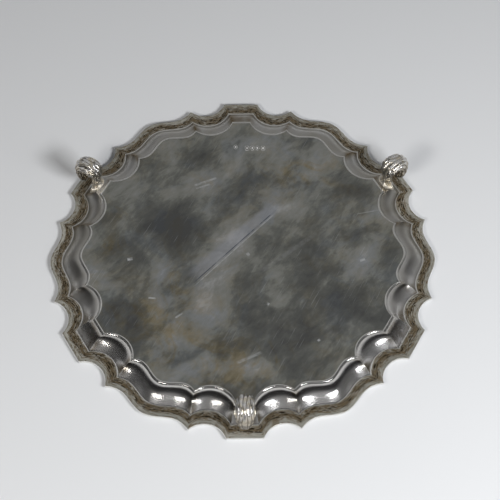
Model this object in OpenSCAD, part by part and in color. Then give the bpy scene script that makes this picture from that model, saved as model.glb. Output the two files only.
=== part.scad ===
// Silver salver on three scroll feet, standing upright.
// Origin: centre of the plane the feet rest on. +Z up, one foot towards -Y. Millimetres.
// The border is a six-sided pie-crust outline: every side has a flat, a scallop each way
// from it to a sharp cusp, and a serpentine curve with a bulge between the cusps.
// Every ring of the dish is that outline at some inset from the edge, at some height.

/* [Outline] */

// centre to the middle of a flat, half of the size across flats
flat_reach = 101.5; // [60:0.5:200]
// half the length of a flat at the edge
flat_half_edge = 9.2; // [4:0.1:14]
// half the length of a flat at the crease
flat_half_crease = 6.95; // [3:0.05:12]
// half the length of a flat at the well
flat_half_well = 4.85; // [2:0.05:10]
// distance of a cusp from the centre at the edge
cusp_edge = 100.5; // [60:0.5:200]
// distance of a cusp from the centre at the crease
cusp_crease = 93.7; // [55:0.1:190]
// distance of a cusp from the centre at the well
cusp_well = 82.95; // [45:0.05:180]
// depth of a scallop below its chord
scallop_depth = 5.2; // [2:0.1:9]
// height of the serpentine wave above its middle line
wave_height = 2.45; // [0.5:0.05:5]

/* [Profile] */

// width of the cast border
border_width = 6.3; // [3:0.1:12]
// inset of the inner edge of the curved wall
well_inset = 16.8; // [10:0.1:30]
// height of the underside of the border above the table
border_height = 23.4; // [15:0.1:40]
// height of the underside of the well above the table
well_height = 17.35; // [10:0.05:35]
// thickness of the sheet
sheet = 1.1; // [0.6:0.1:2]

/* [Feet] */

// distance of the middle of a foot from the centre
foot_reach = 94.1; // [60:0.1:190]
// radius of the curl's centre line
curl_radius = 4.1; // [3:0.1:9]
// half width of the head of a foot
head_half_width = 4.8; // [2:0.1:8]
// half thickness of the head of a foot
head_half_depth = 4.1; // [2:0.1:5]
// number of reeds round the foot
reeds = 9; // [5:1:14]
// depth of the valleys between reeds, as a part of the section
reed_depth = 0.13; // [0:0.01:0.3]
// how much of the head is worn flat where it rests
worn_flat = 0.8; // [0.3:0.05:1.2]

/* [Hidden] */

silver = [0.74, 0.74, 0.73];
cast_silver = [0.66, 0.64, 0.60];

// segments along one half of a side: flat, scallop, serpentine
n_scallop = 7;
n_wave = 7;
n_half = 1 + n_scallop + n_wave;
n_side = 2 * n_half;
n_ring = 6 * n_side;

function mix(a, b, f) = a + (b - a) * f;

// a value that is known at the edge, the crease and the well, at inset t
function rail(t, edge, crease, well) =
    t < border_width
        ? mix(edge, crease, t / border_width)
        : mix(crease, well, (t - border_width) / (well_inset - border_width));

function flat_corner(t) =
    [rail(t, flat_half_edge, flat_half_crease, flat_half_well), flat_reach - t];
function cusp_angle(t) = rail(t, 16.17, 16.81, 17.53);
function cusp_radius(t) = rail(t, cusp_edge, cusp_crease, cusp_well);
function cusp(t) = cusp_radius(t) * [sin(cusp_angle(t)), cos(cusp_angle(t))];

// circular arc from the flat's corner to the cusp, f = 0 to 1
function scallop(f, t) =
    let (a = flat_corner(t), b = cusp(t))
    let (chord = norm(b - a), along = (b - a) / chord, out = [-along[1], along[0]])
    let (r = (chord * chord / 4 + scallop_depth * scallop_depth) / (2 * scallop_depth))
    let (half = asin(chord / 2 / r), turn = mix(-half, half, f))
    (a + b) / 2 + out * (r - scallop_depth) + along * r * sin(turn) - out * r * cos(turn);

// serpentine from the cusp to the top of the bulge, f = 0 to 1
function wave(x, t) = wave_height * cos(180 * x / rail(t, 17.05, 16.45, 13.6));
function serpentine(f, t) =
    let (from_top = 30 - cusp_angle(t))
    let (reach = cusp_radius(t) * sin(from_top), x = reach * (1 - f))
    let (middle = rail(t, 98.6, 93, 82.25))
    let (miss = cusp_radius(t) * cos(from_top) - middle - wave(reach, t))
    let (y = middle + wave(x, t) + miss * pow(x / reach, 2))
    [y * sin(30) - x * cos(30), y * cos(30) + x * sin(30)];

// point number s of a half side, counted from the middle of the flat
function half_side(s, t) =
    s <= 1 ? [s * flat_corner(t)[0], flat_corner(t)[1]]
    : s <= 1 + n_scallop ? scallop((s - 1) / n_scallop, t)
    : serpentine((s - 1 - n_scallop) / n_wave, t);

// point i of the ring at inset t and height z, anticlockwise seen from above
function ring_point(i, t, z) =
    let (side = floor(i / n_side), s = i - side * n_side - n_half)
    let (p = half_side(abs(s), t), x = s < 0 ? -p[0] : p[0])
    let (turn = side * 60 - 90)
    [p[1] * cos(turn) - x * sin(turn), p[1] * sin(turn) + x * cos(turn), z];

// curved wall of the dish: w runs from 0 at the lip to 1 at the well
wall_top_inset = 7;
wall_end_inset = 15.6;
wall_steps = 8;
function wall(w, out, drop, z) =
    [mix(wall_top_inset + out, wall_end_inset, w), z - drop * sin(90 * w)];
function under_wall(w) = wall(w, 0, border_height - well_height - 0.6, border_height - 0.25);

// [inset, height] stations of the underside, from the well out to the lip
under_side = concat(
    [[17.8, well_height], [17.2, well_height - 0.06], [16.8, well_height - 0.2],
     [16.3, well_height + 0.25]],
    [for (i = [0:wall_steps]) under_wall(1 - i / wall_steps)],
    [[6.7, border_height - 0.14], [border_width, border_height - 0.1]]);
// the same for the upper side, from the lip in to the well
upper_side = concat(
    [[border_width, border_height + 1], [7.9, border_height + 1]],
    [for (i = [0:wall_steps - 1])
        wall(i / (wall_steps - 1), sheet, border_height - well_height - 1, border_height + 0.45)],
    [[16.6, well_height + sheet + 0.1], [17.8, well_height + sheet]]);

// two triangles between points a, b of one ring and d, c of the next
function patch(a, b, c, d) = [[a, d, c], [a, c, b]];

module salver_body() {
    stations = concat(under_side, upper_side);
    last = len(stations) - 1;
    centre = len(stations) * n_ring;
    points = concat(
        [for (st = stations, i = [0:n_ring - 1]) ring_point(i, st[0], st[1])],
        [[0, 0, well_height], [0, 0, well_height + sheet]]);
    skin = [for (k = [0:last - 1], i = [0:n_ring - 1])
        let (j = (i + 1) % n_ring, a = k * n_ring, b = a + n_ring)
        each patch(a + i, a + j, b + j, b + i)];
    bottom = [for (i = [0:n_ring - 1]) [centre, i, (i + 1) % n_ring]];
    top = [for (i = [0:n_ring - 1])
        [centre + 1, last * n_ring + (i + 1) % n_ring, last * n_ring + i]];
    color(silver) polyhedron(points, concat(skin, bottom, top));
}

// the cast border's section: inset, underside and top above the border's height
border_profile = [[-0.6, 0.7, 1.5], [-0.25, 0.2, 2.3], [0.5, 0, 2.9], [1.5, 0, 2.7],
                  [2.6, 0, 1.8], [4, 0, 1.5], [5.2, 0, 2.1], [border_width, 0, 1.5]];

// one sixth of the border, from a cusp to the same cusp of the next side
module border_section(number) {
    n = len(border_profile);
    start = number * n_side - n_half + 1 + n_scallop;
    loop = concat(
        [for (p = border_profile) [p[0], border_height + p[1]]],
        [for (k = [n - 1:-1:0])
            [border_profile[k][0], border_height + border_profile[k][2]]]);
    m = 2 * n;
    points = [for (i = [0:n_side], p = loop)
        ring_point((start + i + n_ring) % n_ring, p[0], p[1])];
    skin = [for (i = [0:n_side - 1], k = [0:m - 1])
        let (l = (k + 1) % m, a = i * m, b = a + m)
        each patch(a + k, a + l, b + l, b + k)];
    first_end = [for (k = [0:n - 2]) each patch(k, m - 1 - k, m - 2 - k, k + 1)];
    e = n_side * m;
    last_end = [for (k = [0:n - 2])
        each [[e + k, e + m - 1 - k, e + m - 2 - k], [e + k, e + m - 2 - k, e + k + 1]]];
    color(cast_silver) polyhedron(points, concat(skin, first_end, last_end));
}

// a foot: a leaf-shaped pad that lies on the underside of the wall, a neck, and a reeded
// head that curls under and ends in a small tip on the outer side
pad_rows = 2 * (wall_steps - 1) + 1;
n_loop = 2 * pad_rows;
function pad_wall(x) =
    let (w = mix(1 / wall_steps, 1, x) * wall_steps, i = min(floor(w), wall_steps - 1))
    mix(under_wall(i / wall_steps), under_wall((i + 1) / wall_steps), w - i);
// [radius, sideways, height] of point j of the pad's outline
function pad_point(j) =
    let (side = j < pad_rows ? 1 : -1, row = j < pad_rows ? j : n_loop - 1 - j)
    let (x = row / (pad_rows - 1), at = pad_wall(x))
    [flat_reach - at[0], side * mix(1.08, 0.86, x) * (1.2 + 4.4 * pow(sin(180 * x), 0.45)), at[1]];

// the head's centre line and half sizes at turn a: 0 at the neck, 90 at the bottom
curl_height = curl_radius + head_half_depth - worn_flat;
function curl_depth(a) = lookup(a, [[-40, 2.3], [-10, 3], [25, 3.8], [70, head_half_depth],
    [110, head_half_depth], [180, 3.9], [215, 3.6], [240, 3], [252, 2.2], [260, 1.1], [264, 0.3]]);
function curl_width(a) = lookup(a, [[-40, 2.8], [-10, 3.8], [30, 4.7], [70, head_half_width],
    [150, head_half_width], [195, 4.6], [225, 4.1], [245, 3.3], [256, 2.1], [264, 0.5]]);
// the side towards the middle of the curl is fuller, so that the curl closes on itself
function curl_fill(a) = max(curl_depth(a), lookup(a, [[-40, 0], [-20, 2.8], [0, 3.9], [225, 3.9],
    [245, 3], [256, 1.8], [264, 0]]));
// straight above the turn of 0 and above the turn of 180, round between them
function curl_middle(a) =
    a < 0 ? [foot_reach - curl_radius - a * 0.01, curl_height - a * 0.16]
    : a > 180 ? [foot_reach + curl_radius + (a - 180) * 0.004, curl_height + (a - 180) * 0.125]
    : [foot_reach - curl_radius * cos(a), curl_height - curl_radius * sin(a)];
// sideways reach of the section at turn b: round outside, squarer towards the middle of the curl
function curl_side(b) = cos(b) > 0 ? sign(sin(b)) * pow(abs(sin(b)), 0.6) : sin(b);
function curl_point(j, a) =
    let (turn = (j + 0.5) * 360 / n_loop, lean = max(0, min(a, 180)))
    let (reed = 1 - reed_depth * (0.5 - 0.5 * cos(reeds * turn)))
    let (depth = cos(turn) > 0 ? min(curl_fill(a), curl_radius - 0.15) : curl_depth(a))
    let (inward = depth * cos(turn) * reed, c = curl_middle(a))
    [c[0] + inward * cos(lean), curl_width(a) * curl_side(turn) * reed,
     max(0, c[1] + inward * sin(lean))];
// the flare between the pad and the neck
function flare_point(j, f_plan, f_height) =
    let (p = pad_point(j), q = curl_point(j, -40))
    [mix(p[0], q[0], f_plan), mix(p[1], q[1], f_plan), mix(p[2], q[2], f_height)];

module foot(turn) {
    curl = [-40, -18, 0, 20, 38, 54, 68, 80, 90, 100, 112, 126, 143, 162, 180, 200, 220, 240, 252, 260,
        264];
    points = concat(
        [for (j = [0:n_loop - 1]) pad_point(j)],
        [for (j = [0:n_loop - 1]) flare_point(j, 0.12, 0.1)],
        [for (j = [0:n_loop - 1]) flare_point(j, 0.5, 0.25)],
        [for (j = [0:n_loop - 1]) flare_point(j, 0.82, 0.55)],
        [for (a = curl, j = [0:n_loop - 1]) curl_point(j, a)]);
    last = len(points) / n_loop - 1;
    skin = [for (k = [0:last - 1], j = [0:n_loop - 1])
        let (l = (j + 1) % n_loop, a = k * n_loop, b = a + n_loop)
        each patch(a + l, a + j, b + j, b + l)];
    pad = [for (r = [0:pad_rows - 2])
        each patch(r, r + 1, n_loop - 2 - r, n_loop - 1 - r)];
    e = last * n_loop;
    tip = [for (j = [1:n_loop - 2]) [e, e + j, e + j + 1]];
    color(cast_silver) rotate([0, 0, turn]) polyhedron(points, concat(skin, pad, tip));
}

salver_body();
border_section(0);  // border_section_1
border_section(1);  // border_section_2
border_section(2);  // border_section_3
border_section(3);  // border_section_4
border_section(4);  // border_section_5
border_section(5);  // border_section_6
foot(-90);  // foot_front
foot(30);  // foot_back_right
foot(150);  // foot_back_left
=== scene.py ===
import math

import bpy
import numpy as np
from mathutils import Matrix, Vector


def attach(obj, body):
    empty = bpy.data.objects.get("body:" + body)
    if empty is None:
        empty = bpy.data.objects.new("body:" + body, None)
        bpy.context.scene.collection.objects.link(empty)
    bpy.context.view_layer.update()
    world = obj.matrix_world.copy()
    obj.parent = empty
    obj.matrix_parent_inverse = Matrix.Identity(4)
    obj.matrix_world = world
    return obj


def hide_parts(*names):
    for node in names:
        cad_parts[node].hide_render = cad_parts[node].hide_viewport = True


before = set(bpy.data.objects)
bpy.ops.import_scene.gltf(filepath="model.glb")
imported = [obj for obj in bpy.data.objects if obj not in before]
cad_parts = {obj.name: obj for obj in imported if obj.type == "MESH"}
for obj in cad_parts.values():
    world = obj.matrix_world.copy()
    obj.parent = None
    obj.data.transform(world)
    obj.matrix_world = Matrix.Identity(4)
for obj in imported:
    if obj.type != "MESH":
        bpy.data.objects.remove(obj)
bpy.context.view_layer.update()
MM = 0.001

# ---------------------------------------------------------------- the outline, in millimetres
# The outline of the CAD. Values in brackets hold at the edge, at the crease between border and
# dish, and at the edge of the well.
SIDES = 6
HALF_SIDE_TURN = math.pi / SIDES
FLAT_REACH = 101.5
FLAT_HALF = (9.2, 6.95, 4.85)
CUSP_RADIUS = (100.5, 93.7, 82.95)
CUSP_DEGREES = (16.17, 16.81, 17.53)
WAVE_MIDDLE = (98.6, 93.0, 82.25)
WAVE_LENGTH = (17.05, 16.45, 13.6)
SCALLOP_DEPTH = 5.2
WAVE_HEIGHT = 2.45
BORDER_WIDTH = 6.3
WELL_INSET = 16.8
BORDER_Z = 23.4
WELL_Z = 17.35
SHEET = 1.1

# Points on half a flat, on a scallop and on one wave, then on half a side, a side and the ring
N_FLAT = 4
N_SCALLOP = 22
N_WAVE = 22
N_HALF = N_FLAT + N_SCALLOP + N_WAVE
N_SIDE = 2 * N_HALF
N_RING = SIDES * N_SIDE


def rail(t, values):
    """The value at inset t, from those at the edge, at the crease and at the well."""
    edge, crease, well = values
    if t < BORDER_WIDTH:
        return edge + (crease - edge) * t / BORDER_WIDTH
    return crease + (well - crease) * (t - BORDER_WIDTH) / (WELL_INSET - BORDER_WIDTH)


def half_side(t):
    """Points at inset t from the middle of a flat to the middle of the double wave."""
    corner = np.array([rail(t, FLAT_HALF), FLAT_REACH - t])
    angle = math.radians(rail(t, CUSP_DEGREES))
    radius = rail(t, CUSP_RADIUS)
    cusp = radius * np.array([math.sin(angle), math.cos(angle)])

    f = np.linspace(0, 1, N_FLAT + 1)[:-1, None]
    flat = np.hstack([f * corner[0], np.full_like(f, corner[1])])

    chord = np.linalg.norm(cusp - corner)
    along = (cusp - corner) / chord
    out = np.array([-along[1], along[0]])
    r = (chord**2 / 4 + SCALLOP_DEPTH**2) / (2 * SCALLOP_DEPTH)
    half = math.asin(chord / 2 / r)
    turn = np.linspace(-half, half, N_SCALLOP + 1)[:-1, None]
    centre = (corner + cusp) / 2 + out * (r - SCALLOP_DEPTH)
    scallop = centre + along * r * np.sin(turn) - out * r * np.cos(turn)

    length = rail(t, WAVE_LENGTH)
    middle = rail(t, WAVE_MIDDLE)
    reach = radius * math.sin(HALF_SIDE_TURN - angle)
    miss = radius * math.cos(HALF_SIDE_TURN - angle) - middle
    miss -= WAVE_HEIGHT * math.cos(math.pi * reach / length)
    x = reach * (1 - np.linspace(0, 1, N_WAVE + 1))
    y = middle + WAVE_HEIGHT * np.cos(math.pi * x / length) + miss * (x / reach) ** 2
    c, s = math.cos(HALF_SIDE_TURN), math.sin(HALF_SIDE_TURN)
    wave = np.stack([y * s - x * c, y * c + x * s], axis=1)
    return np.vstack([flat, scallop, wave])


def outline(t):
    """The whole ring at inset t, anticlockwise from above, from half a side before -Y."""
    half = half_side(t)
    mirrored = half[1:][::-1] * [-1, 1]
    side = np.vstack([mirrored, half[:-1]])
    parts = []
    for k in range(SIDES):
        a = 2 * HALF_SIDE_TURN * k - math.pi / 2
        radial = np.array([math.cos(a), math.sin(a)])
        tangent = np.array([-math.sin(a), math.cos(a)])
        parts.append(side[:, 1:] * radial + side[:, :1] * tangent)
    return np.vstack(parts)


def at_height(xy, z):
    """Flat points as points in space, all at height z."""
    return np.column_stack([xy, np.full(len(xy), z)])


def ripple(x, y, size, seed, count=9):
    """Smooth random height field, about -1 to 1, with waves of about the given size in mm."""
    rng = np.random.default_rng(seed)
    total = np.zeros_like(x)
    for _ in range(count):
        a = rng.uniform(0, math.pi)
        k = 2 * math.pi / (size * rng.uniform(0.7, 1.6))
        total += np.sin(k * (x * math.cos(a) + y * math.sin(a)) + rng.uniform(0, 6.28))
    return total / math.sqrt(count)


# ---------------------------------------------------------------- making meshes
def loft(name, rings, marks):
    """A closed skin over rings of points in millimetres, shaped (rings, points, 3).

    Marks are named values for the materials, one for each point of each ring."""
    rings = np.asarray(rings)
    n_st, n_pt = rings.shape[:2]
    k, i = np.meshgrid(np.arange(n_st - 1), np.arange(n_pt), indexing="ij")
    j = (i + 1) % n_pt
    quads = np.stack(
        [k * n_pt + i, (k + 1) * n_pt + i, (k + 1) * n_pt + j, k * n_pt + j], axis=-1
    )
    faces = quads.reshape(-1, 4).tolist()
    first_cap = n_st * n_pt
    last_row = first_cap - n_pt
    for a in range(n_pt):
        b = (a + 1) % n_pt
        faces.append([first_cap, a, b])
        faces.append([first_cap + 1, last_row + b, last_row + a])
    verts = np.vstack([rings.reshape(-1, 3), rings[0].mean(0), rings[-1].mean(0)])
    mesh = bpy.data.meshes.new(name)
    mesh.from_pydata((verts * MM).tolist(), [], faces)
    for key, values in marks.items():
        values = np.asarray(values, dtype=np.float32).reshape(-1)
        caps = [values[:n_pt].mean(), values[-n_pt:].mean()]
        layer = mesh.attributes.new(key, "FLOAT", "POINT")
        layer.data.foreach_set("value", np.append(values, caps).astype(np.float32))
    mesh.validate()
    obj = bpy.data.objects.new(name, mesh)
    bpy.context.collection.objects.link(obj)
    return obj


def smooth(obj, degrees):
    """Smooth shading, sharp where faces meet at more than the angle. Normals point outward."""
    bpy.context.view_layer.objects.active = obj
    obj.select_set(True)
    bpy.ops.object.mode_set(mode="EDIT")
    bpy.ops.mesh.select_all(action="SELECT")
    bpy.ops.mesh.normals_make_consistent(inside=False)
    bpy.ops.object.mode_set(mode="OBJECT")
    obj.select_set(False)
    obj.data.polygons.foreach_set("use_smooth", [True] * len(obj.data.polygons))
    obj.data.set_sharp_from_angle(angle=math.radians(degrees))


def finish_piece(obj, material, sharp_degrees, node=None):
    obj.data.materials.append(material)
    smooth(obj, sharp_degrees)
    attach(obj, "root")
    if node:
        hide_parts(node)


# ---------------------------------------------------------------- node trees
class Graph:
    """Short names for the nodes that the materials and the room are made of."""

    def __init__(self, tree):
        self.tree = tree

    def node(self, kind):
        return self.tree.nodes.new("ShaderNode" + kind)

    def link(self, source, target):
        self.tree.links.new(source, target)

    def feed(self, value, target):
        """Links a socket to the target, or gives the target its own number or colour."""
        if isinstance(value, bpy.types.NodeSocket):
            self.link(value, target)
        elif isinstance(value, tuple):
            target.default_value = (*value, 1)
        elif target.type == "RGBA":
            target.default_value = (value, value, value, 1)
        else:
            target.default_value = value

    def split(self, vector):
        """The three axes of a vector."""
        n = self.node("SeparateXYZ")
        self.link(vector, n.inputs["Vector"])
        return [n.outputs[axis] for axis in "XYZ"]

    def math(self, operation, a, b=0.0, clamp=False):
        n = self.node("Math")
        n.operation = operation
        n.use_clamp = clamp
        self.feed(a, n.inputs[0])
        self.feed(b, n.inputs[1])
        return n.outputs[0]

    def plus(self, a, b):
        return self.math("ADD", a, b)

    def times(self, a, b, clamp=False):
        return self.math("MULTIPLY", a, b, clamp)

    def mix(self, factor, a, b, blend="MIX"):
        n = self.node("Mix")
        n.data_type = "RGBA"
        n.blend_type = blend
        self.feed(factor, n.inputs["Factor"])
        self.feed(a, n.inputs["A"])
        self.feed(b, n.inputs["B"])
        return n.outputs["Result"]

    def ramp(self, source, stops):
        """Stops are (position from 0 to 1, grey or colour)."""
        n = self.node("ValToRGB")
        elements = n.color_ramp.elements
        while len(elements) < len(stops):
            elements.new(0.5)
        for e, (at, value) in zip(elements, stops):
            e.position = at
            rgb = value if isinstance(value, tuple) else (value,) * 3
            e.color = (*rgb, 1)
        self.link(source, n.inputs["Fac"])
        return n.outputs["Color"]

    def wide_ramp(self, source, stops):
        """A ramp whose stops go from any lowest to any highest position."""
        low, high = stops[0][0], stops[-1][0]
        span = self.node("MapRange")
        span.inputs["From Min"].default_value = low
        span.inputs["From Max"].default_value = high
        self.link(source, span.inputs["Value"])
        return self.ramp(span.outputs["Result"], [((at - low) / (high - low), v) for at, v in stops])


class Surface(Graph):
    """A material's nodes, with textures in the object's own space."""

    def __init__(self, name):
        self.material = bpy.data.materials.new(name)
        self.material.use_nodes = True
        super().__init__(self.material.node_tree)
        self.shader = self.tree.nodes["Principled BSDF"]
        self.coords = self.node("TexCoord").outputs["Object"]

    def attribute(self, name):
        n = self.node("Attribute")
        n.attribute_name = name
        return n.outputs["Fac"]

    def noise(self, scale, detail=4.0, rough=0.55, distort=0.0, vector=None):
        n = self.node("TexNoise")
        n.inputs["Scale"].default_value = scale
        n.inputs["Detail"].default_value = detail
        n.inputs["Roughness"].default_value = rough
        n.inputs["Distortion"].default_value = distort
        self.link(vector or self.coords, n.inputs["Vector"])
        return n.outputs["Fac"]

    def local(self, place, angle, size):
        """Coordinates about a place, turned by the angle and measured in the given sizes."""
        n = self.node("Mapping")
        n.vector_type = "TEXTURE"
        n.inputs["Location"].default_value = (*place, 0)
        n.inputs["Rotation"].default_value = (0, 0, angle)
        n.inputs["Scale"].default_value = (*size, 1)
        self.link(self.coords, n.inputs["Vector"])
        return n.outputs["Vector"]

    def brushed(self, degrees, size, detail, rough, distort):
        """Noise drawn out into strokes of the given length and width in metres."""
        return self.noise(1, detail, rough, distort, self.local((0, 0), math.radians(degrees), size))

    def line_mark(self, start, end, half_width):
        """1 along a straight mark on the sheet, in millimetres, with tapering ends."""
        start, end = Vector(start) * MM, Vector(end) * MM
        along = end - start
        size = (along.length / 2, half_width * MM)
        u, v, _ = self.split(self.local((start + end) / 2, math.atan2(along.y, along.x), size))
        ends = self.times(self.math("SUBTRACT", 1.0, self.math("ABSOLUTE", u)), 5.0, clamp=True)
        sides = self.times(self.math("SUBTRACT", 1.0, self.math("ABSOLUTE", v)), 2.0, clamp=True)
        return self.times(ends, sides)

    def bump(self, height, distance, strength):
        n = self.node("Bump")
        n.inputs["Distance"].default_value = distance
        n.inputs["Strength"].default_value = strength
        self.link(height, n.inputs["Height"])
        self.link(n.outputs["Normal"], self.shader.inputs["Normal"])

    def finish(self, colour, roughness, metallic):
        self.feed(colour, self.shader.inputs["Base Color"])
        self.feed(roughness, self.shader.inputs["Roughness"])
        self.feed(metallic, self.shader.inputs["Metallic"])
        return self.material


# ---------------------------------------------------------------- the sheet's material
# Wear on the underside of the well, as soft spots: x, y, half length and half width in mm,
# angle in degrees, and how much paler (+) or darker (-) the spot is
WEAR = [
    (4, 7, 36, 11, 135, 0.9), (20, -30, 12, 9, 60, 0.9), (45, -13, 12, 8, 90, 0.5),
    (38, 68, 10, 7, 0, 0.7), (20, 46, 11, 6, 150, 0.7), (-65, -3, 11, 6, 20, 0.7),
    (-1, -65, 9, 5, 20, 0.9), (34, -51, 12, 7, 0, 0.5), (62, 22, 12, 14, 60, 0.3),
    (24, 62, 14, 8, 0, -0.8), (35, 21, 16, 12, 30, -1.1), (-2, 43, 14, 8, 160, -0.8),
    (-23, -47, 17, 11, 20, -1.3), (10, -54, 13, 8, 0, -0.8), (-61, 39, 10, 12, 0, -0.9),
    (68, -27, 12, 18, 0, -0.9), (-28, -60, 20, 7, 0, -0.6), (-45, -25, 22, 8, 20, -0.5),
    (50, -45, 20, 15, 0, -0.7), (52, 6, 16, 18, 0, -0.7), (-36, -38, 18, 14, 0, -0.2),
    (-48, 8, 16, 15, 0, -0.65), (36, 46, 14, 10, 0, -0.4),
]
# Brown tarnish in the same way
BROWN = [
    (37, -17, 9, 7, 60, 1), (69, 6, 6, 5, 0, 1), (43, -38, 24, 15, 20, 0.9),
    (26, -60, 24, 9, 0, 1.2), (-32, 54, 18, 9, 160, 0.8), (5, -72, 18, 5, 0, 1.2),
    (62, 30, 8, 8, 0, 0.6), (-42, 43, 14, 8, 0, 0.7), (-12, -62, 24, 9, 0, 0.8),
]
# Straight marks: start, end and half width in mm, and how strong
PALE_MARKS = [
    ((-8, -12), (-40, 13), 1.5, 0.14), ((4, -64), (-9, -58), 1.0, 0.4),
    ((-61, 24), (-76, 27), 0.4, 0.3), ((26, 43), (13.5, 48), 0.8, 0.6),
    ((25, 41), (17, 44), 0.6, 0.5), ((26, -20), (-19, 26.5), 0.35, 0.6),
    ((60.5, -3), (57.5, -2.4), 1.1, 0.95), ((-61, -5), (-64, -4), 0.9, 0.7),
    ((-12, -30), (-13.2, -30.6), 0.9, 0.8), ((-37.5, -51), (-38.3, -52), 0.9, 0.8),
    ((49, -26), (45, -26.4), 0.6, 0.8), ((-2, -1), (-3.5, 0), 1.2, 0.5),
    ((31, -35), (35, -38), 0.6, 0.6),
]
# The long scratch and the polished strip round it
SCRATCH = ((27, -18.7), (-18.5, 27.5), 0.36)
POLISHED_STRIP = ((28, -15), (-19, 31), 4.5)
WIPE_DEGREES = 132


def spots(x, y, table):
    """The sum of soft elliptical spots at each point."""
    total = np.zeros_like(x)
    for cx, cy, half_length, half_width, angle, amount in table:
        c, s = math.cos(math.radians(angle)), math.sin(math.radians(angle))
        u = ((x - cx) * c + (y - cy) * s) / half_length
        v = ((y - cy) * c - (x - cx) * s) / half_width
        total += amount * np.exp(-(u * u + v * v))
    return total


def tarnish_colour(m, patches):
    """Mottled grey tarnish under the well, brown in places and bluish in others."""
    large = m.noise(19, 4, 0.55, 0.7)
    strokes = m.brushed(WIPE_DEGREES, (0.006, 0.0027), 5, 0.68, 0.4)
    wear = m.times(m.attribute("wear"), 0.115)
    tone = m.plus(m.times(large, 0.38), m.times(patches, 0.42))
    tone = m.plus(tone, m.times(strokes, 0.2))
    tone = m.plus(m.plus(tone, wear), 0.008)
    well = m.ramp(
        tone,
        [(0.36, (0.095, 0.097, 0.094)), (0.44, (0.135, 0.138, 0.128)),
         (0.49, (0.18, 0.184, 0.167)), (0.52, (0.235, 0.238, 0.215)),
         (0.6, (0.3, 0.302, 0.285)), (0.66, (0.4, 0.4, 0.395)), (0.76, (0.52, 0.52, 0.52))],
    )
    brown = m.times(m.ramp(m.noise(48, 5, 0.65, 1.4), [(0.46, 0.0), (0.62, 1.0)]),
                    m.ramp(m.noise(230, 4, 0.65, 1.0), [(0.32, 0.35), (0.62, 1.0)]))
    brown = m.times(brown, m.plus(0.4, m.attribute("brown")), clamp=True)
    well = m.mix(brown, well, (1.0, 0.86, 0.64), "MULTIPLY")
    blue = m.ramp(m.noise(37, 4, 0.6, 1.5), [(0.52, 0.0), (0.64, 0.65)])
    return m.mix(blue, well, (0.93, 0.98, 1.1), "MULTIPLY")


def marked_colour(m, well):
    """The well's colour with hairlines, pale marks, the polished strip and the long scratch."""
    hair = m.brushed(118, (0.02, 0.0006), 2, 0.5, 0.2)
    well = m.mix(m.ramp(hair, [(0.66, 0.0), (0.73, 0.3)]), well, (0.5, 0.51, 0.52))
    well = m.mix(m.times(m.line_mark(*POLISHED_STRIP), 0.36), well, (0.38, 0.4, 0.46))
    broken = m.ramp(m.noise(420, 3, 0.6), [(0.4, 0.35), (0.55, 1.0)])
    for start, end, half_width, strength in PALE_MARKS:
        mark = m.times(m.line_mark(start, end, half_width), strength)
        well = m.mix(m.times(mark, broken), well, (0.6, 0.61, 0.62))
    dark = m.times(m.line_mark(*SCRATCH), 0.9)
    dark = m.times(dark, m.ramp(m.noise(170, 2), [(0.4, 0.25), (0.5, 1.0)]))
    return m.mix(dark, well, (0.09, 0.1, 0.13))


def wall_colour(m):
    """Under the wall: a patchy yellow-grey film, thin where it was kept clean, and brown stain
    in the corners."""
    film = m.ramp(m.noise(38, 4, 0.6, 1.0), [(0.36, 0.35), (0.7, 1.0)])
    kept = m.mix(film, (0.84, 0.83, 0.84), (0.68, 0.66, 0.63))
    filmed = m.mix(film, (0.6, 0.6, 0.6), (0.44, 0.42, 0.375))
    wall = m.mix(m.attribute("kept"), filmed, kept)
    stain = m.ramp(m.noise(110, 4, 0.6), [(0.4, 0.1), (0.58, 1.0)])
    return m.mix(m.times(m.attribute("mitre"), stain), wall, (0.2, 0.15, 0.085))


def upper_colour(m):
    """The upper side: polished, with a little grey haze and a few rubbed lines."""
    haze = m.ramp(m.noise(30, 4, 0.6, 1.2), [(0.4, (0.9, 0.89, 0.87)), (0.68, (0.78, 0.77, 0.75))])
    rubbed = m.noise(1, 3, 0.5, 0.2, m.local((0, 0), 0.5, (0.02, 0.0008)))
    return m.mix(m.ramp(rubbed, [(0.62, 0.0), (0.75, 0.35)]), haze, (0.97, 0.97, 0.96))


def sheet_material():
    """Raised sheet: tarnished under the well, filmed under the wall, polished above, with a painted
    highlight on the lip, the step and the front corners below.
    """
    m = Surface("silver_sheet")
    in_well = m.attribute("well")
    patches = m.brushed(WIPE_DEGREES, (0.024, 0.016), 7, 0.58, 0.6)
    well = marked_colour(m, tarnish_colour(m, patches))
    colour = m.mix(in_well, wall_colour(m), well)
    # Painted highlight: pale colour where the edge mark is set
    colour = m.mix(m.attribute("edge"), colour, (0.9, 0.89, 0.86))
    colour = m.mix(m.attribute("below"), upper_colour(m), colour)
    rough_wall = m.ramp(m.noise(60, 4), [(0.35, 0.19), (0.75, 0.29)])
    rough_wall = m.mix(m.attribute("kept"), 0.4, rough_wall)
    rough_well = m.ramp(patches, [(0.3, 0.5), (0.7, 0.36)])
    fine = m.plus(m.times(m.noise(320, 3, 0.7), 0.15), m.noise(110, 3, 0.5))
    m.bump(m.times(fine, m.math("MAXIMUM", in_well, 0.12)), 0.00006, 0.22)
    return m.finish(colour, m.mix(in_well, rough_wall, rough_well), m.mix(in_well, 1.0, 0.6))


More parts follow.
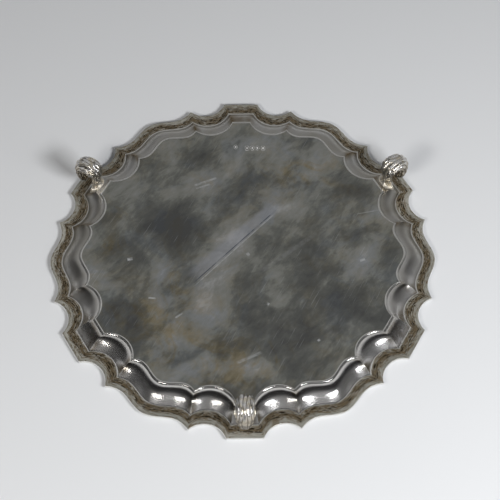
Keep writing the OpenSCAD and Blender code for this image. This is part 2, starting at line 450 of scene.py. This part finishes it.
# ---------------------------------------------------------------- the other materials
def border_material():
    """Cast border: dull grey with brown streaks and painted cream glints along the underside,
    polished on top.
    """
    m = Surface("silver_border")
    inner = m.attribute("inner")
    along = m.node("CombineXYZ")
    m.link(m.times(m.attribute("around"), 0.17), along.inputs["X"])
    m.link(m.times(inner, 5.4), along.inputs["Y"])
    streaks = m.noise(0.9, 6, 0.72, 1.6, along.outputs["Vector"])
    near_wall = m.ramp(inner, [(0.0, 0.0), (0.3, 0.04), (0.5, 0.16), (0.8, 0.14), (1.0, 0.05)])
    stain = m.ramp(m.plus(streaks, near_wall), [(0.52, 0.0), (0.58, 0.65), (0.66, 1.0)])
    dull = m.ramp(m.noise(34, 4, 0.6, 0.8), [(0.35, (0.35, 0.345, 0.3)), (0.68, (0.6, 0.585, 0.52))])
    under = m.mix(stain, dull, (0.21, 0.16, 0.095))
    lines = m.noise(2.1, 4, 0.55, 0.6, along.outputs["Vector"])
    lines = m.times(m.ramp(lines, [(0.52, 0.0), (0.56, 1.0)]),
                    m.ramp(inner, [(0.2, 0.0), (0.4, 1.0), (0.85, 1.0), (1.0, 0.3)]))
    under = m.mix(lines, under, (0.03, 0.022, 0.012))
    # Painted highlight: pale cream glints along the streaks
    glints = m.noise(3.1, 3, 0.5, 0.4, along.outputs["Vector"])
    under = m.mix(m.ramp(glints, [(0.62, 0.0), (0.68, 0.6)]), under, (0.62, 0.58, 0.48))
    below = m.attribute("below")
    colour = m.mix(below, (0.84, 0.83, 0.8), under)
    rough = m.mix(below, 0.2, m.ramp(stain, [(0.0, 0.34), (1.0, 0.5)]))
    m.bump(m.noise(260, 4, 0.6), 0.00025, 0.6)
    return m.finish(colour, rough, m.mix(below, 1.0, 0.65))


def feet_material():
    """Cast feet: worn bright where they rest, tarnished in the valleys and towards the border,
    with pads frosted by pale, yellowish solder."""
    m = Surface("silver_feet")
    valley = m.ramp(m.attribute("valley"), [(0.5, 0.0), (0.95, 1.0)])
    warm = m.ramp(m.noise(330, 5, 0.6), [(0.44, 0.0), (0.6, 1.0)])
    worn = m.mix(warm, (0.84, 0.83, 0.82), (0.74, 0.68, 0.56))
    film = m.mix(warm, (0.2, 0.175, 0.14), (0.52, 0.46, 0.37))
    colour = m.mix(m.attribute("film"), worn, film)
    colour = m.mix(m.times(valley, 0.85), colour, (0.13, 0.11, 0.085))
    rough = m.mix(valley, m.ramp(m.noise(260, 3), [(0.35, 0.16), (0.7, 0.3)]), 0.5)
    grain = m.ramp(m.noise(500, 3), [(0.35, 0.5), (0.6, 1.0)])
    solder = m.times(m.attribute("solder"), grain)
    colour = m.mix(m.times(solder, 0.8), colour, (0.62, 0.56, 0.44))
    rough = m.mix(solder, rough, 0.36)
    m.bump(m.noise(420, 4, 0.6), 0.0003, 0.6)
    return m.finish(colour, rough, m.mix(solder, 1.0, 0.45))


def punch_material():
    """The struck marks: bright bruised metal on the rims and devices, dark in the fields."""
    m = Surface("silver_punched")
    bright = m.ramp(m.noise(900, 4), [(0.35, (0.6, 0.6, 0.58)), (0.65, (0.95, 0.94, 0.92))])
    colour = m.mix(m.attribute("raised"), (0.14, 0.14, 0.13), bright)
    m.bump(m.noise(1500, 3), 0.00003, 0.5)
    return m.finish(colour, 0.34, 0.35)


SHEET_SILVER = sheet_material()
BORDER_SILVER = border_material()
FEET_SILVER = feet_material()
PUNCH_SILVER = punch_material()


# ---------------------------------------------------------------- the dish
WALL_TOP = 7.0
WALL_END = 14.7
# Radius where the waviness of the hammered sheet has faded out, and over what width it fades
CALM_RADIUS = 95.2
CALM_FADE = 6
# The step round the well: inset, and height over the well's underside
STEP = [(15.1, 0.35), (15.5, 0.355), (15.8, 0.35), (15.95, 0.3), (16.1, 0.19), (16.25, 0.05),
        (16.4, -0.09), (16.58, -0.18), (16.8, -0.21), (16.95, -0.18), (17.1, -0.1),
        (17.25, -0.03), (17.45, 0.01), (17.8, 0)]
WELL_EDGE = STEP[-1][0]
WELL_LOOK_FROM = 17.0
# The underside is cleaner towards the front, and the painted highlights on the step ring and the
# corners show only there: the change starts at this y and takes this many mm
KEPT_FROM = 15
KEPT_FADE = 75


def wall(w, out, drop, z):
    """[inset, height] on the curved wall; w is 0 at the lip and 1 at the well."""
    t = (WALL_TOP + out) + (WALL_END - WALL_TOP - out) * w
    return [t, z - drop * math.sin(math.pi / 2 * w)]


def under_wall(w):
    """The same on the underside of the wall."""
    return wall(w, 0, BORDER_Z - WELL_Z - 0.52, BORDER_Z - 0.17)


def under_stations():
    """[inset, height] of the underside, from the lip to the well."""
    lip = [(BORDER_WIDTH, -0.1), (6.5, -0.11), (6.75, -0.12), (6.92, -0.15)]
    stations = [[t, BORDER_Z + z] for t, z in lip]
    stations += [under_wall(w) for w in np.linspace(0, 1, 34)]
    return stations + [[t, WELL_Z + z] for t, z in STEP]


def upper_stations():
    """[inset, height] of the upper side, from the lip to the well."""
    lip = [(BORDER_WIDTH, 1), (7.9, 1), (8.3, 0.94), (8.6, 0.75)]
    foot = [(16.6, 0.1), (17.2, 0.03), (WELL_EDGE, 0)]
    stations = [[t, BORDER_Z + z] for t, z in lip]
    stations += [wall(w, SHEET, BORDER_Z - WELL_Z - 1, BORDER_Z + 0.45)
                 for w in np.linspace(0, 1, 26) ** 1.2]
    return stations + [[t, WELL_Z + SHEET + z] for t, z in foot]


def mitre_marks():
    """1 at each corner of the ring, falling to 0 over the four points beside it; 0.6 on flats."""
    corners = np.array([N_FLAT, N_FLAT + N_SCALLOP])
    s = np.arange(N_RING) % N_SIDE - N_HALF
    away = np.min(np.abs(np.abs(s)[:, None] - corners[None, :]), axis=1)
    on_flat = np.where(np.abs(s) < N_FLAT, 0.6, 0)
    return np.maximum(np.clip(1 - away / 4, 0, 1), on_flat)


def highlight_at(t):
    """How strong the painted highlight on the underside is at inset t: most on the lip and beside
    the well.
    """
    if t < 6.85 or 16.2 < t < 17.15:
        return 0.9
    return 0.7 if 14.9 < t <= 16.2 else 0.0


def make_dish():
    well_edge = outline(WELL_EDGE)
    shrink = np.linspace(1, 0.02, 42)[1:]
    mitre = mitre_marks()
    # ridge: the corner columns of the ring, which get a painted highlight towards the front
    ridge = (mitre == 1).astype(float)
    rings = []
    marks = {name: [] for name in ("well", "edge", "below", "mitre", "kept")}

    def add(xy, z, in_well=0.0, highlight=0.0, below=0.0):
        """One ring of the skin, with the marks that the material reads there."""
        rings.append(at_height(xy, z))
        kept = np.clip((KEPT_FROM - xy[:, 1]) / KEPT_FADE, 0, 1)
        # Painted highlight (the edge mark): the lip and the bead beside the well all round, the step
        # ring and the corners only towards the front
        bright = highlight * (kept if highlight < 0.8 else 1)
        marks["well"].append(np.full(N_RING, in_well))
        marks["edge"].append(np.maximum(bright, 0.6 * ridge * kept * below * (1 - in_well)))
        marks["below"].append(np.full(N_RING, below))
        marks["mitre"].append(mitre * below * (1 - in_well))
        marks["kept"].append(kept * below + 1 - below)

    for f in shrink[::-1]:
        add(well_edge * f, WELL_Z, in_well=1.0, below=1.0)
    for t, z in under_stations()[::-1]:
        add(outline(t), z, 1.0 if t > WELL_LOOK_FROM else 0.0, highlight_at(t), 1.0)
    for t, z in upper_stations():
        add(outline(t), z)
    for f in shrink:
        add(well_edge * f, WELL_Z + SHEET)
    rings = np.array(rings)
    x, y = rings[..., 0], rings[..., 1]
    fade = np.clip((CALM_RADIUS - np.hypot(x, y)) / CALM_FADE, 0, 1)
    rings[..., 2] += 0.035 * ripple(x, y, size=26, seed=3) * fade
    marks["wear"] = spots(x, y, WEAR)
    marks["brown"] = spots(x, y, BROWN)
    finish_piece(loft("dish", rings, marks), SHEET_SILVER, 24, "salver_body")


# ---------------------------------------------------------------- the struck marks
# Place in mm, shape of the field and plain device
PUNCHES = [
    (3.2, 68.2, "oval", "boss"), (-3.0, 67.4, "square", "bar"), (-5.9, 67.4, "shield", "boss"),
    (-8.7, 67.4, "oval", "ring"), (-11.8, 67.3, "square", "boss"),
]
SQUARENESS = {"oval": 1.0, "square": 0.35, "shield": 0.6}
PUNCH_HALF_SIZE = (1.05, 1.35)
PUNCH_POINTS = 40
PUNCH_TIP = 0.02
# Rings of a punch: share of its size, height over the well's underside, and brightness
PUNCH_RIM = [(1.12, 0.04, 0.3), (1.06, -0.03, 0.8), (0.98, -0.09, 1.0), (0.9, -0.05, 0.5),
             (0.84, -0.015, 0.0), (0.5, -0.012, 0.0)]
PUNCH_DEVICES = {
    "bar": [(0.4, -0.09, 1.0), (0.2, -0.1, 1.0), (PUNCH_TIP, -0.1, 1.0)],
    "ring": [(0.45, -0.09, 1.0), (0.28, -0.015, 1.0), (PUNCH_TIP, -0.015, 1.0)],
    "boss": [(0.42, -0.06, 1.0), (0.2, -0.11, 1.0), (PUNCH_TIP, -0.11, 1.0)],
}
PUNCH_BACK = [(PUNCH_TIP, 0.05, 0.0), (1.12, 0.06, 0.0)]


def punch_rim(shape):
    around = np.linspace(0, 2 * math.pi, PUNCH_POINTS, endpoint=False)
    c, s = np.cos(around), np.sin(around)
    power = SQUARENESS[shape]
    rim = np.column_stack([np.sign(c) * np.abs(c) ** power, np.sign(s) * np.abs(s) ** power])
    rim *= PUNCH_HALF_SIZE
    if shape == "shield":
        rim[:, 0] *= 1 - 0.3 * np.clip(-rim[:, 1], 0, 1)
    return rim


def make_punch_marks():
    """Struck punches: each a sunk field in a raised rim, with a plain device in the middle."""
    for number, (x, y, shape, device) in enumerate(PUNCHES):
        rim = punch_rim(shape)
        narrow = [1, 0.45] if device == "bar" else [1, 1]
        stations = [(rim, *row) for row in PUNCH_RIM]
        stations += [(rim * narrow, *row) for row in PUNCH_DEVICES[device]]
        stations += [(rim, *row) for row in PUNCH_BACK]
        rings = [at_height(form * size + [x, y], WELL_Z + z) for form, size, z, _ in stations]
        raised = [np.full(PUNCH_POINTS, bright) for _, _, _, bright in stations]
        obj = loft(f"punch_mark_{number + 1}", rings, {"raised": raised})
        finish_piece(obj, PUNCH_SILVER, 40)


# ---------------------------------------------------------------- the border castings
# Inset, and height over the border's underside, from the edge to the crease and back
BORDER_UNDER = [(-0.6, 1.1), (-0.58, 0.75), (-0.45, 0.4), (-0.25, 0.18), (0.1, 0.05), (0.6, 0.0),
                (1.4, 0.02), (2.4, 0.04), (3.0, 0.05), (3.3, 0.0), (3.6, -0.07), (3.9, -0.12),
                (4.2, -0.15), (4.7, -0.15), (5.2, -0.14), (5.8, -0.12), (BORDER_WIDTH, -0.1)]
BORDER_OVER = [(BORDER_WIDTH, 1.5), (5.9, 1.95), (5.5, 2.12), (5.1, 2.1), (4.7, 1.86),
               (4.2, 1.55), (3.6, 1.5), (3.0, 1.62), (2.5, 1.88), (2.0, 2.3), (1.6, 2.66),
               (1.1, 2.84), (0.5, 2.9), (0.1, 2.75), (-0.25, 2.35), (-0.5, 1.8)]
BORDER_TOP = BORDER_Z + 2.9
# How far the streaks of each casting are shifted from those of the one before, in mm
CASTING_SHIFT = 50


def make_border():
    loop = BORDER_UNDER + BORDER_OVER
    rings = np.array([at_height(outline(t), BORDER_Z + z) for t, z in loop])
    x, y = rings[..., 0], rings[..., 1]
    cast = 0.05 * (ripple(x, y, size=7, seed=11) + ripple(x, y, size=17, seed=12))
    rough = np.array([0 if t > 5.75 or z > 0.5 else 1 for t, z in loop])[:, None]
    rings[..., 2] += np.maximum(cast * rough, 0)
    below = np.array([1.0 if z < 0.2 else 0.0 for t, z in loop])
    inner = np.array([max(t, 0) / BORDER_WIDTH for t, z in loop])
    first_cusp = N_HALF + N_FLAT + N_SCALLOP
    for number in range(SIDES):
        index = (first_cusp + number * N_SIDE + np.arange(N_SIDE + 1)) % N_RING
        part = rings[:, index].transpose(1, 0, 2)
        step = np.linalg.norm(np.diff(part[:, 0], axis=0), axis=1)
        length = np.concatenate([[0], np.cumsum(step)]) + number * CASTING_SHIFT
        marks = {
            "below": np.tile(below, (N_SIDE + 1, 1)),
            "inner": np.tile(inner, (N_SIDE + 1, 1)),
            "around": np.tile(length[:, None], (1, len(loop))),
        }
        obj = loft(f"border_{number + 1}", part, marks)
        finish_piece(obj, BORDER_SILVER, 30, f"border_section_{number + 1}")


# ---------------------------------------------------------------- the feet
FOOT_REACH = 94.1
CURL_RADIUS = 4.1
HEAD_HALF_WIDTH = 4.8
HEAD_HALF_DEPTH = 4.1
WORN = 0.8
CURL_Z = CURL_RADIUS + HEAD_HALF_DEPTH - WORN
# The centre line turns from the neck, through 0 and 180 degrees at the two sides, to the tip
NECK_TURN = -40
TIP_TURN = 264
N_LOOP = 216
REEDS = 13
NECK_FILM = 0.2
# No foot reaches past the rounded edge of the border
MOST_REACH = FLAT_REACH + 0.55


def curl_depth(a):
    return np.interp(a, [NECK_TURN, -10, 25, 70, 110, 180, 215, 240, 252, 260, TIP_TURN],
                     [2.3, 3, 3.8, HEAD_HALF_DEPTH, HEAD_HALF_DEPTH, 3.9, 3.6, 3, 2.2, 1.1, 0.3])


def curl_width(a):
    return np.interp(a, [NECK_TURN, -10, 30, 70, 150, 195, 225, 245, 256, TIP_TURN],
                     [2.8, 3.8, 4.7, HEAD_HALF_WIDTH, HEAD_HALF_WIDTH, 4.6, 4.1, 3.3, 2.1, 0.5])


def curl_fill(a):
    """Half thickness on the side towards the middle of the curl, fuller so that it closes."""
    turns = [NECK_TURN, -20, 0, 225, 245, 256, TIP_TURN]
    fill = np.interp(a, turns, [0, 2.8, 3.9, 3.9, 3, 1.8, 0])
    return min(max(curl_depth(a), fill), CURL_RADIUS - 0.15)


def curl_middle(a):
    """Radius and height of the centre line: round below, nearly straight up at both ends."""
    if a < 0:
        return FOOT_REACH - CURL_RADIUS - a * 0.01, CURL_Z - a * 0.16
    if a > 180:
        return FOOT_REACH + CURL_RADIUS + (a - 180) * 0.004, CURL_Z + (a - 180) * 0.125
    return (FOOT_REACH - CURL_RADIUS * math.cos(math.radians(a)),
            CURL_Z - CURL_RADIUS * math.sin(math.radians(a)))


def reed_shape(turn):
    """0 on the crest of a reed, 1 in the valley."""
    return 1 - np.abs(np.cos(REEDS * turn / 2 + math.pi / 2))


def chased_size(turn, a):
    """The size of the reeded section round its loop, about 1, and how deep in a valley it is.

    As in hand chasing, the reeds wander a little and the surface is never quite even."""
    wander = 0.09 * np.sin(3 * turn + a / 31) + 0.07 * np.sin(2 * turn - a / 17 + 1)
    valley = reed_shape(turn + wander)
    depth = 0.13 * np.clip((265 - a) / 100, 0.25, 1)
    reed = np.floor((turn + wander) * REEDS / (2 * math.pi))
    bump = np.cos(math.radians(a) * 9 + 2.4 * reed)
    chased = math.exp(-(((a - 10) / 50) ** 2)) + 0.35 + 0.4 * math.exp(-(((a - 215) / 35) ** 2))
    uneven = 0.014 * np.sin(5 * turn + a / 7) + 0.012 * np.sin(8 * turn - a / 5 + 2)
    size = (1 - depth * valley) * (1 + 0.04 * bump * (1 - valley) * chased + uneven)
    return size, valley


def curl_section(a):
    """The loop at turn a of the curl, for a foot on the +X side, and its valleys."""
    turn = (np.arange(N_LOOP) + 0.5) * 2 * math.pi / N_LOOP
    lean = math.radians(max(0, min(a, 180)))
    size, valley = chased_size(turn, a)
    depths = np.where(np.cos(turn) > 0, curl_fill(a), curl_depth(a))
    inward = depths * np.cos(turn) * size
    squarer = np.where(np.cos(turn) > 0, np.abs(np.sin(turn)) ** -0.4, 1)
    r, z = curl_middle(a)
    section = np.column_stack([np.minimum(r + inward * math.cos(lean), MOST_REACH),
                               curl_width(a) * np.sin(turn) * squarer * size,
                               np.maximum(0, z + inward * math.sin(lean))])
    return section, valley


def pad_section():
    """The leaf-shaped outline of the pad where it lies on the wall."""
    turn = (np.arange(N_LOOP) + 0.5) / N_LOOP
    x = np.where(turn < 0.5, turn * 2, 2 - turn * 2)
    side = np.where(turn < 0.5, 1, -1)
    at = np.array([under_wall(0.125 + 0.875 * v) for v in x])
    y = side * (1.08 - 0.22 * x) * (1.2 + 4.4 * np.sin(math.pi * x) ** 0.45)
    return np.column_stack([FLAT_REACH - at[:, 0], y, at[:, 1]])


def make_foot(name, node, degrees):
    pad = pad_section()
    neck, valley = curl_section(NECK_TURN)
    rings = []
    marks = {"valley": [], "film": [], "solder": []}

    def add(section, valleys, film, solder):
        rings.append(section)
        marks["valley"].append(valleys)
        marks["film"].append(np.full(N_LOOP, film))
        marks["solder"].append(np.full(N_LOOP, solder))

    for s in np.linspace(0, 1, 26)[:-1]:
        plan, height = 1 - (1 - s) ** 1.9, s**1.8
        r = pad + (neck - pad) * [plan, plan, height]
        middle = r.mean(0)
        lobe = 1 - 0.16 * valley[:, None] * math.sin(math.pi * s) ** 0.7 * [1, 1, 0]
        add(middle + (r - middle) * lobe, valley * (0.55 + 0.45 * s), NECK_FILM, (1 - s) ** 0.8)
    curl = np.linspace(NECK_TURN, 240, 150)
    tip = np.linspace(242, TIP_TURN, 16)
    for a in np.concatenate([curl, tip]):
        section, v = curl_section(a)
        past_neck = np.clip((a - NECK_TURN) / 110, NECK_FILM, 1)
        add(section, v, np.clip((section[:, 2] - 1) / 5, 0, 1) * past_neck, 0.0)
    rings = np.array(rings)
    a = math.radians(degrees)
    x, y = rings[..., 0].copy(), rings[..., 1].copy()
    rings[..., 0] = x * math.cos(a) - y * math.sin(a)
    rings[..., 1] = x * math.sin(a) + y * math.cos(a)
    obj = loft(name, rings, marks)
    finish_piece(obj, FEET_SILVER, 50, node)
    return obj


make_dish()
make_punch_marks()
make_border()
feet = [
    make_foot("scroll_foot_front", "foot_front", -90),
    make_foot("scroll_foot_right", "foot_back_right", 30),
    make_foot("scroll_foot_left", "foot_back_left", 150),
]


# ---------------------------------------------------------------- view
# Camera and lights are described as the photo was taken: the salver lies face down and "up" is
# away from the table. turn_over takes a place of that world, in metres above the border's
# underside, into the part's frame.
TURN_OVER = Matrix(((-1, 0, 0), (0, 1, 0), (0, 0, -1)))
CAMERA_AIM = Vector((3.72911, 5.888015, 0)) * MM
CAMERA_DISTANCE = 763.87885 * MM
CAMERA_AZIMUTH = math.radians(1.236)
CAMERA_ELEVATION = math.radians(58.842)
CAMERA_ROLL = math.radians(-0.5423)
CAMERA_LENS = 103.8528


def turn_over(v):
    return TURN_OVER @ Vector(v) + Vector((0, 0, BORDER_Z * MM))


def add_camera():
    spin = Matrix.Rotation(-CAMERA_AZIMUTH, 3, "Z")
    back = Vector((0, -math.cos(CAMERA_ELEVATION), math.sin(CAMERA_ELEVATION)))
    right = Vector((1, 0, 0))
    up = back.cross(right)
    rolled_right = right * math.cos(CAMERA_ROLL) - up * math.sin(CAMERA_ROLL)
    rolled_up = right * math.sin(CAMERA_ROLL) + up * math.cos(CAMERA_ROLL)
    axes = Matrix([TURN_OVER @ spin @ v for v in (rolled_right, rolled_up, back)])
    place = turn_over(spin @ (CAMERA_AIM + back * CAMERA_DISTANCE))
    camera = bpy.data.objects.new("camera", bpy.data.cameras.new("camera"))
    bpy.context.collection.objects.link(camera)
    camera.matrix_world = Matrix.Translation(place) @ axes.transposed().to_4x4()
    camera.data.lens = CAMERA_LENS
    camera.data.clip_start = 0.01
    camera.data.clip_end = 50
    bpy.context.scene.camera = camera


# ---------------------------------------------------------------- tables
TABLE_REACH = 2.5
TABLE_HOLE_INSET = 3.0


def one_sided(name, colour):
    """A matt material that is clear from behind."""
    m = Surface(name)
    m.finish(colour, 0.65, 0.0)
    m.shader.inputs["Specular IOR Level"].default_value = 0.15
    choose = m.node("MixShader")
    m.link(m.node("NewGeometry").outputs["Backfacing"], choose.inputs["Fac"])
    m.link(m.shader.outputs["BSDF"], choose.inputs[1])
    m.link(m.node("BsdfTransparent").outputs["BSDF"], choose.inputs[2])
    m.link(choose.outputs["Shader"], m.tree.nodes["Material Output"].inputs["Surface"])
    return m.material


def stage_sheet(name, z, facing, hole, colour):
    """A round pale sheet that only shows on one side. A hole keeps the dish's top open."""
    around = np.linspace(0, 2 * math.pi, N_RING, endpoint=False) - math.pi / 2 - HALF_SIDE_TURN
    far = np.column_stack([np.cos(around), np.sin(around)]) * TABLE_REACH
    near = outline(hole) * MM if hole else far * 0.01
    verts = [(*p, z) for p in far] + [(*p, z) for p in near]
    if not hole:
        verts.append((0, 0, z))
    faces = []
    for i in range(N_RING):
        j = (i + 1) % N_RING
        faces.append([i, j, N_RING + j, N_RING + i])
        if not hole:
            faces.append([N_RING + i, N_RING + j, 2 * N_RING])
    if facing < 0:
        faces = [f[::-1] for f in faces]
    mesh = bpy.data.meshes.new(name)
    mesh.from_pydata(verts, [], faces)
    mesh.materials.append(one_sided(name, colour))
    obj = bpy.data.objects.new(name, mesh)
    bpy.context.collection.objects.link(obj)
    return obj


def make_tables():
    """The photo's table at the top of the border, and a floor under the feet for other views
    that only the camera sees."""
    stage_sheet("table_above", BORDER_TOP * MM, -1, TABLE_HOLE_INSET, (0.78, 0.79, 0.8))
    floor = stage_sheet("table_below", 0.0, 1, 0, (0.8, 0.8, 0.8))
    for ray in ("diffuse", "glossy", "transmission", "shadow"):
        setattr(floor, "visible_" + ray, False)


# ---------------------------------------------------------------- lights
WHITE = (1, 1, 1)
WARM = (1.0, 0.98, 0.95)
COOL = (0.97, 0.98, 1.0)
# Place in the face-down view and size, in metres, and colour
HIGH_LEFT = ((-0.42, -0.55, 0.62), (0.27, 0.14), WARM)
HIGH_RIGHT = ((0.46, -0.5, 0.6), (0.34, 0.16), COOL)
LOW_LEFT = ((-0.4, -0.7, 0.39), (0.36, 0.025), WARM)
LOW_RIGHT = ((0.46, -0.67, 0.37), (0.42, 0.03), COOL)
SIDE_RIGHT = ((0.5, -0.35, 0.35), (0.3, 0.3), WHITE)


def area_light(name, place, target, size, power, colour=WHITE):
    light = bpy.data.lights.new(name, "AREA")
    light.shape = "RECTANGLE"
    light.size, light.size_y = size
    light.energy = power
    light.color = colour
    obj = bpy.data.objects.new(name, light)
    bpy.context.collection.objects.link(obj)
    obj.location = place
    obj.rotation_mode = "QUATERNION"
    obj.rotation_quaternion = (Vector(target) - Vector(place)).to_track_quat("-Z", "Y")
    obj.visible_camera = False
    return obj


def view_light(name, box, power):
    """A light of the face-down view, aimed at the middle of the salver."""
    place, size, colour = box
    return area_light(name, turn_over(place), turn_over((0, 0, 0)), size, power, colour)


def add_lights():
    """Soft lights for the table and its shadows, low softboxes that the wall reflects, a pair
    that only lights the feet, and two lights for the upper side."""
    for name, box, power in [("soft_left", HIGH_LEFT, 2.76), ("soft_right", HIGH_RIGHT, 6.0),
                             ("table_wash", SIDE_RIGHT, 0.49)]:
        view_light(name, box, power).visible_glossy = False
    for name, box, power in [("softbox_left", LOW_LEFT, 0.6), ("softbox_right", LOW_RIGHT, 1.2)]:
        view_light(name, box, power).visible_diffuse = False
    feet_group = bpy.data.collections.new("feet_lighting")
    for foot in feet:
        feet_group.objects.link(foot)
    for name, box, power in [("feet_left", HIGH_LEFT, 4.0), ("feet_right", HIGH_RIGHT, 6.5)]:
        light = view_light(name, box, power)
        light.visible_diffuse = False
        light.light_linking.receiver_collection = feet_group
    area_light("top_left", (-0.5, -0.5, 0.9), (0, 0, 0.02), (0.5, 0.5), 9)
    area_light("top_right", (0.7, 0.3, 0.9), (0, 0, 0.02), (0.5, 0.5), 7)


# ---------------------------------------------------------------- world
# Grey levels of the room that the silver reflects, by the part's direction from -1 to 1:
# dark overhead and pale on the far side, with a bright band part way up
FAR_SIDE = [(-1, 0.24), (-0.75, 0.2), (-0.55, 0.04), (0, 0.02), (0.2, 0.03), (0.36, 0.15),
            (0.39, 1.0), (0.445, 1.0), (0.48, 0.27), (0.55, 0.33), (1, 0.4)]
# lighter towards the horizon
HORIZON = [(-1, 0.02), (-0.85, 0.025), (-0.7, 0.06), (-0.5, 0.2), (0, 0.28)]
# dimmer on both sides
SIDE_DIMMING = [(-1, 0.45), (-0.3, 0.85), (0, 1), (0.3, 0.7), (1, 0.2)]
# pale over the upper side of the dish
STUDIO = [(0, 0.7), (0.5, 0.7), (1, 0.45)]
UPWARD = [(-0.02, 0), (0.02, 1)]
SOFT_LIGHT = (0.13, 0.13, 0.132)
BACKDROP = (0.7, 0.71, 0.73)


def make_world():
    """A backdrop for the camera, a dim even light for matt surfaces and a room for mirrors."""
    world = bpy.data.worlds.new("room")
    bpy.context.scene.world = world
    world.use_nodes = True
    g = Graph(world.node_tree)
    x, y, z = g.split(g.node("TexCoord").outputs["Generated"])
    over_underside = g.mix(1.0, g.wide_ramp(y, FAR_SIDE), g.wide_ramp(z, HORIZON), "LIGHTEN")
    over_underside = g.mix(1.0, over_underside, g.wide_ramp(x, SIDE_DIMMING), "MULTIPLY")
    room = g.mix(g.wide_ramp(z, UPWARD), over_underside, g.wide_ramp(z, STUDIO))
    ray = g.node("LightPath").outputs
    plain = g.mix(ray["Is Camera Ray"], SOFT_LIGHT, BACKDROP)
    colour = g.mix(ray["Is Glossy Ray"], plain, room)
    g.feed(colour, g.tree.nodes["Background"].inputs["Color"])


add_camera()
make_tables()
add_lights()
make_world()
bpy.context.scene.view_settings.view_transform = "Standard"
